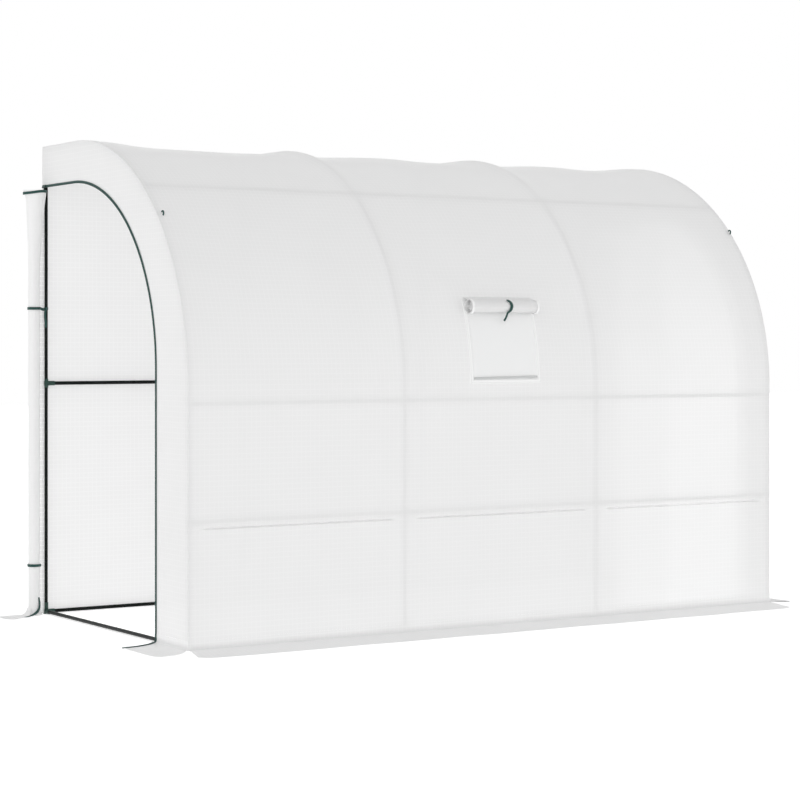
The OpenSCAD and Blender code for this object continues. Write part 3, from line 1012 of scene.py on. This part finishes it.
def post_tie(z_mid):
    """Parts of a strap that tie it to the rear post: ring, bridge from the roll, knot and loose tail."""
    ring = strap(*ring_path(POST_X, POST_Y, POST_R, z_mid, 0, 360), STRAP_W, STRAP_T)
    start = np.array([ROLL_X - ROLL_R * 1.02, ROLL_Y - 0.004, z_mid])
    end = np.array([POST_X + POST_R * 0.8, POST_Y - 0.006, z_mid])
    t = np.linspace(0, 1, 14)[:, None]
    sag = np.array([0, -0.004, -0.004]) * np.sin(math.pi * t)
    bridge = strap(start + (end - start) * t + sag, (0, -1, 0), STRAP_W, STRAP_T)
    knot_at = np.array([POST_X + 0.006, POST_Y - POST_R - 0.003, z_mid])
    knot = strap(*ring_path(knot_at[0], knot_at[1], KNOT_R, z_mid, 0, 360, 18),
                 STRAP_W * 1.1, STRAP_T * 1.6)
    drop = np.linspace(0, 1, 18)[:, None]
    hang = knot_at + np.array([0.004, -0.003, -STRAP_TAIL]) * drop
    hang = hang + np.array([0.002, 0.001, 0]) * np.sin(5 * drop)
    return [ring, bridge, knot, strap(hang, (0.3, -1, 0), STRAP_W * 0.8, STRAP_T)]


def make_strap(side, name, z, label, tied):
    """A webbing strap round the rolled door. A tied one is knotted to the rear post too."""
    z_mid = z + STRAP_W / 2
    radius = ROLL_R * (1 + ROLL_UNEVEN) + STRAP_GAP
    parts = [strap(*ring_path(ROLL_X, ROLL_Y, radius, z_mid, 95, -170), STRAP_W, STRAP_T)]
    if tied:
        parts += post_tie(z_mid)
    return add_piece(f"{name}_strap_{label}", *mirrored(join(parts), side), WEBBING)


def make_straps(side, name):
    low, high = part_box(f"{name}_door_ties")
    upper = make_strap(side, name, high.z - STRAP_W - STRAP_TOP_GAP, "upper", True)
    make_strap(side, name, low.z, "lower", False)
    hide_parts(f"{name}_door_ties")


# The window's border, net and sill

BORDER_INSETS = (-0.0003, 0.0008, 0.0035, 0.0085, 0.0135, 0.0162, BORDER_W + 0.0003)
BORDER_OUTS = (-0.0003, 0.0018, 0.0019, 0.0027, 0.0019, 0.0018, -0.0009)
STITCH_ROWS = (BORDER_INSETS[2], BORDER_INSETS[4])
STITCH_OUT = 0.0024
STITCH_PITCH = 0.006
STITCH = (0.0042, 0.0009, 0.0009)
NET_INSET = 0.004
NET_GAP = 0.0008
NET_SLACK = 0.002
SILL_SIZE = (0.0085, 0.0016)
SILL_UP = 0.008
SILL_TILT = 0.005
SILL_GAP = 0.002


def window_ring(inset, out, per_side=40):
    """Points round the window, a distance inside its border's outer edge."""
    low = np.array([window_low.x, height_to_s(WINDOW_FOOT)]) + inset
    high = np.array([window_high.x, height_to_s(window_high.z)]) - inset
    corners = np.array([low, (high[0], low[1]), high, (low[0], high[1])])[:, None]
    t = steps(0, 1, per_side)[:, None]
    flat = corners + (np.roll(corners, -1, axis=0) - corners) * t
    flat = flat.reshape(-1, 2)
    return on_cover(flat[:, 0], flat[:, 1], out), flat


def make_window_border():
    """The white tape round the window, bulging between its two rows of stitches."""
    rings = [window_ring(inset, out) for inset, out in zip(BORDER_INSETS, BORDER_OUTS)]
    points = np.concatenate([ring[0] for ring in rings])
    uv = np.concatenate([ring[1] for ring in rings])
    border = add_piece("window_tape", points, ring_faces(len(rings), len(rings[0][0])),
                       TAPE_FILM, uv)
    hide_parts("window_border")
    make_stitches("window_stitches", [window_ring(inset, STITCH_OUT)[0] for inset in STITCH_ROWS])


def make_stitches(name, paths):
    """Rows of sewn stitches along closed paths."""
    centres = []
    axes = []
    for path in paths:
        places, ahead, _ = spaced(np.concatenate([path, path[:1]]), STITCH_PITCH)
        up = np.cross(ahead, (1.0, 0.0, 0.0))
        up = np.where(np.linalg.norm(up, axis=1, keepdims=True) < 0.2, (0.0, 0.0, 1.0), up)
        side_way = unit(np.cross(ahead, unit(up)))
        centres.append(places)
        axes.append(np.stack([ahead, side_way, np.cross(ahead, side_way)], axis=1))
    part = boxes(np.concatenate(centres), np.concatenate(axes), STITCH)
    add_piece(name, *part, THREAD, smooth_shade=False)


def make_window_net():
    xs = np.linspace(window_low.x + NET_INSET, window_high.x - NET_INSET, 40)
    rows = np.linspace(height_to_s(WINDOW_FOOT + NET_INSET), height_to_s(window_high.z - NET_INSET), 38)
    x, s = np.meshgrid(xs, rows)
    slack = NET_SLACK * ripple(x, s, 0.2, seed=81)
    y, z, _, _ = arch_profile(s, NET_GAP + 0.4 * np.abs(slack))
    net = add_grid("window_mesh", stack(x, y, z), stack(x, s), NET)
    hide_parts("window_net")


def make_sill_strip():
    """A thin grey strip along the window's lower edge, laid over the net just above the border."""
    s = height_to_s(WINDOW_FOOT) + BORDER_W + SILL_UP
    inset = BORDER_W + SILL_GAP
    x = np.linspace(window_low.x + inset, window_high.x - inset, 40)
    path = on_cover(x, s + SILL_TILT * np.linspace(-0.5, 0.5, 40), NET_GAP)
    add_piece("window_sill_strip", *strap(path, (0, -1, 0), *SILL_SIZE), SILL_GREY)


# The window's rolled flap

FLAP_R = 0.029
FLAP_L = 0.351
FLAP_CORE = 0.003
FLAP_TURNS = 3.5
FLAP_START = math.radians(100)
FLAP_LEAD = 1.2
FLAP_LEAD_L = 0.03
FLAP_ROOT_S = height_to_s(window_high.z) + 0.012
FLAP_PINCH = 0.10
FLAP_PINCH_W = 0.022
FLAP_UNEVEN = 0.02
FLAP_SLIP = 0.007
FLAP_SLIP_WAVE = 0.002
_, FLAP_Y, FLAP_Z = middle("window_flap_roll")
BINDING_SIZE = (0.012, 0.0014)
BINDING_INSET = 0.006
BINDING_GAP = 0.0008
TIE_SIZE = (0.014, 0.0016)
TIE_X = 0.015
TIE_BOW = 0.012
TIE_GAP = 0.003
TIE_ANGLES = (75, -62)
TAIL_SIZE = (0.010, 0.0022)
TAIL_WAY = (-0.018, 0.004, -0.034)
TAIL_CURL = 0.004


def make_window_flap():
    """The window's flap, rolled up loosely, with its spiral showing at both ends."""
    turns = np.concatenate([steps(-FLAP_LEAD, 0, 8),
                            np.linspace(0, 2 * math.pi * FLAP_TURNS, 130)])
    turn, along = np.meshgrid(turns, np.linspace(-0.5, 0.5, 60))
    shrink = np.clip(turn / turns[-1], 0, 1)
    pinch = 1 - FLAP_PINCH * hump(along * FLAP_L, 0, FLAP_PINCH_W)
    uneven = 1 + FLAP_UNEVEN * ripple(along, turn * 0.03, 0.18, seed=91)
    radius = (FLAP_R - (FLAP_R - FLAP_CORE) * shrink) * pinch * uneven
    angle = FLAP_START - np.maximum(turn, 0)
    slip = (FLAP_SLIP * shrink + FLAP_SLIP_WAVE * np.sin(turn * 1.7)) * np.sign(along)
    slip = slip * smooth(0.4, 0.5, np.abs(along))
    x = WINDOW_X + along * FLAP_L
    wound = stack(x + slip, FLAP_Y - radius * np.cos(angle), FLAP_Z + radius * np.sin(angle))
    root = on_cover(x, np.full(along.shape, FLAP_ROOT_S), 0.001)
    lead = np.clip(-turn / FLAP_LEAD, 0, 1)
    points = wound * (1 - lead[..., None]) + root * lead[..., None]
    length = float(turns[-1] * (FLAP_R + FLAP_CORE) / 2)
    uv = stack(along * FLAP_L, shrink * length - FLAP_LEAD_L * lead)
    sheet = add_grid("window_flap_sheet", points, uv, FLAP_FILM)
    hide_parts("window_flap_roll")
    for side, label in ENDS:
        make_flap_end(side, label)


def flap_ring(x, radius, turns):
    """Path and facing of a turn, or part of one, round the rolled flap."""
    facing = stack(0, -np.cos(turns), np.sin(turns))
    return stack(x, FLAP_Y, FLAP_Z) + radius * facing, facing


def make_flap_end(side, label):
    """The white bound end of the rolled flap."""
    x = WINDOW_X + side * (FLAP_L / 2 - BINDING_INSET)
    path, facing = flap_ring(x, FLAP_R + BINDING_GAP, np.linspace(0, 2 * math.pi, 44))
    points, faces = strap(path, facing, *BINDING_SIZE)
    add_piece(f"window_flap_{label}_binding", points, faces, TAPE_FILM, points[:, [0, 2]])


def make_window_strap():
    """The strap over the rolled flap: up and over, then curling back with a loose end."""
    x = WINDOW_X + TIE_X + TIE_BOW * np.sin(np.linspace(0, math.pi, 40))
    radius = FLAP_R * 0.93 + TIE_GAP
    over, facing = flap_ring(x, radius, np.radians(np.linspace(*TIE_ANGLES, 40)))
    t = np.linspace(0, 1, 16)[1:, None]
    tail = over[-1] + t * np.array(TAIL_WAY) + np.array([TAIL_CURL, 0, 0]) * np.sin(2.4 * t)
    loop = strap(over, facing, *TIE_SIZE)
    loose = strap(np.concatenate([over[-3:], tail]), (0.0, -1.0, -0.1), *TAIL_SIZE)
    tie = add_piece("window_strap", *join([loop, loose]), WEBBING)
    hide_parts("window_tie")


# Rope loops on the shoulders

LOOP_ANGLE = math.radians(42)
LOOP_X = (HOOPS[0] + 0.012, HOOPS[3])
LOOP_R = 0.0032
LOOP_RISE = 0.012
LOOP_HALF = 0.0095
LOOP_SEAT = 0.0014
PATCH_SIZE = (0.014, 0.0014)
PATCH_HALF = 0.017
PATCH_STITCH = (0.0018, 0.0009, 0.0008)
PATCH_STITCH_UP = 0.0135
PATCH_STITCH_OUT = 0.0018
PATCH_STITCH_HALF = 0.005


def make_rope_loops():
    """A rope loop on a sewn patch on the shoulder of each end hoop."""
    out = np.array([0, -math.cos(LOOP_ANGLE), math.sin(LOOP_ANGLE)])
    up = np.array([0, math.sin(LOOP_ANGLE), math.cos(LOOP_ANGLE)])
    side_way = np.array([1.0, 0, 0])
    stitch_run = side_way * np.linspace(-PATCH_STITCH_HALF, PATCH_STITCH_HALF, 5)[:, None]
    turns = np.linspace(0, math.pi, 22)[:, None]
    ropes = []
    patches = []
    for x in LOOP_X:
        seat = on_cover(x, ARCH_Z + ARCH_R * LOOP_ANGLE, LOOP_SEAT)
        along = seat + np.linspace(-PATCH_HALF, PATCH_HALF, 14)[:, None] * up
        patches.append(strap(along, out, *PATCH_SIZE))
        arc = seat + out * (0.001 + LOOP_RISE * np.sin(turns)) + up * LOOP_HALF * np.cos(turns)
        ropes.append(sweep(arc, side_way, round_section(LOOP_R)))
        rows = np.concatenate([seat + up * k + out * PATCH_STITCH_OUT + stitch_run
                               for k in (-PATCH_STITCH_UP, PATCH_STITCH_UP)])
        axes = np.repeat([np.stack([side_way, up, out])], len(rows), axis=0)
        patches.append(boxes(rows, axes, PATCH_STITCH))
    loops = add_piece("shoulder_loops", *join(ropes), WEBBING)
    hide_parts("rope_loops")
    points, faces = join(patches)
    add_piece("shoulder_patches", points, faces, TAPE_FILM, points[:, [0, 2]])


# Studio

SKY = ((0.02, 0.66), (0.30, 0.77), (0.62, 0.80), (0.95, 0.64))
FLOOR_HALF = 30.0
FLOOR_GLOW = 0.275
FLOOR_WHITE = 0.53
BOUNCE_Z = {"front": 0.005, "left": 0.008}


def make_camera():
    data = bpy.data.cameras.new("camera")
    data.sensor_width = SENSOR
    data.lens = CAMERA_LENS
    data.shift_y = CAMERA_SHIFT
    camera = add_object("camera", data)
    camera.location = CAMERA_AT
    camera.rotation_euler = (math.radians(90), 0, math.radians(CAMERA_YAW))
    bpy.context.scene.camera = camera


def seen_rays(tree):
    """1 for rays that show the backdrop: from the camera, in gloss or through clear things."""
    path = add_node(tree, "LightPath", {})
    both = math_node(tree, "MAXIMUM", path.outputs["Is Camera Ray"], path.outputs["Is Glossy Ray"])
    return math_node(tree, "MAXIMUM", both, path.outputs["Is Transmission Ray"])


def make_world():
    """White to look at; as light, a soft dome that is fullest halfway up."""
    world = bpy.data.worlds.new("studio")
    world.use_nodes = True
    tree = world.node_tree
    way = add_node(tree, "TexCoord", {}).outputs["Generated"]
    height = add_node(tree, "SeparateXYZ", {"Vector": way}).outputs["Z"]
    ramp = add_node(tree, "ValToRGB", {"Fac": height})
    stops = ramp.color_ramp.elements
    for place, level in SKY:
        stop = stops.new(place)
        stop.color = (level, level, level, 1)
    stops.remove(stops[-1])
    stops.remove(stops[0])
    light = add_node(tree, "Background", {"Color": ramp.outputs["Color"], "Strength": 1.0})
    white = add_node(tree, "Background", {"Color": (1, 1, 1, 1), "Strength": 1.0})
    show(tree, mix_shaders(tree, seen_rays(tree), light, white), "World Output")
    bpy.context.scene.world = world


def make_floor():
    """A plain pale floor: it keeps the shadow, and elsewhere it reads as white."""
    mesh = bpy.data.meshes.new("floor")
    corners = [(x * FLOOR_HALF, y * FLOOR_HALF, 0) for x, y in ((-1, -1), (1, -1), (1, 1), (-1, 1))]
    mesh.from_pydata(corners, [], [(0, 1, 2, 3)])
    material, tree, shader = new_material("pale_floor")
    dress(tree, shader, {"Base Color": (0.92, 0.92, 0.92, 1), "Roughness": 0.9, "Specular IOR Level": 0.1})
    strength = remap(tree, seen_rays(tree), (0, 1), (FLOOR_GLOW, FLOOR_WHITE))
    glow = add_node(tree, "Emission", {"Strength": strength})
    both = add_node(tree, "AddShader", {})
    tree.links.new(shader.outputs[0], both.inputs[0])
    tree.links.new(glow.outputs[0], both.inputs[1])
    show(tree, both)
    mesh.materials.append(material)
    add_object("floor", mesh)


def add_lamp(name, kind, power):
    data = bpy.data.lights.new(name, kind)
    data.energy = power
    return add_object(name, data)


def add_panel(name, place, size, power):
    """A rectangular lamp that the camera doesn't see."""
    lamp = add_lamp(name, "AREA", power)
    lamp.data.shape = "RECTANGLE"
    lamp.data.size = size[0]
    lamp.data.size_y = size[1]
    lamp.location = place
    lamp.visible_camera = False
    return lamp


def make_softbox(name, place, target, size, power):
    """A large panel that faces a target."""
    lamp = add_panel(name, place, size, power)
    way = np.subtract(target, place)
    yaw = math.atan2(way[1], way[0])
    pitch = math.atan2(math.hypot(way[0], way[1]), -way[2])
    lamp.rotation_euler = (pitch, 0, yaw - math.pi / 2)


def make_bounce(name, place, size, power, turn):
    """Light that comes up off a skirt: a low panel that faces up, turned by an angle."""
    lamp = add_panel(name, place, size, power)
    lamp.rotation_euler = (math.pi, 0, turn)
    lamp.visible_glossy = False


def make_sun(name, way, strength, spread):
    """An even light from far off, on the side that way points to. A wide spread softens its shadows."""
    lamp = add_lamp(name, "SUN", strength)
    lamp.data.angle = math.radians(spread)
    lamp.rotation_euler = Vector(way).to_track_quat("Z", "Y").to_euler()
    lamp.visible_glossy = False
    return lamp


def light_only(lamp, piece):
    """Keeps a lamp's light to one piece, so that it doesn't bleach the outside of the others."""
    lit = bpy.data.collections.new(f"{lamp.name}_lit")
    lit.objects.link(piece)
    lamp.light_linking.receiver_collection = lit


def make_lights(cover):
    """Soft light from the left and front, and sun through the right doorway on the cover's inside."""
    make_softbox("left_softbox", (-7.5, -0.5, 2.3), (-1.5, 0.3, 1.0), (4.0, 3.0), 18.5)
    make_bounce("front_bounce", (-0.03, FRONT_Y - 0.105, BOUNCE_Z["front"]), (3.1, 0.19), 0.60, 0)
    make_bounce("left_bounce", (-HALF_LENGTH - 0.1, -0.5, BOUNCE_Z["left"]), (0.3, 0.17), 0.06,
                -math.pi / 2)
    make_sun("key", (-0.52, -0.84, 0.06), 0.36, 40)
    light_only(make_sun("doorway_sun", (0.44, 0.88, 0.15), 1.35, 3), cover)
    light_only(make_sun("doorway_side", (0.57, 0.81, 0.15), 1.9, 3), cover)


def finish_frame():
    """Gives the CAD tubes and connectors their finish."""
    for name, obj in nodes.items():
        if obj.hide_render:
            continue
        material = PLASTIC if name.endswith("connectors") else STEEL
        obj.data.materials.clear()
        obj.data.materials.append(material)


make_camera()
make_world()
make_floor()
make_lights(make_cover())
make_rear()
for side, name in ENDS:
    make_end(side, name)
    make_end_skirt(side, name)
    make_zip(side, name)
    make_door(side, name)
    make_straps(side, name)
make_front_skirt()
make_window_border()
make_window_net()
make_sill_strip()
make_window_flap()
make_window_strap()
make_rope_loops()
finish_frame()

bpy.context.scene.view_settings.view_transform = "Standard"
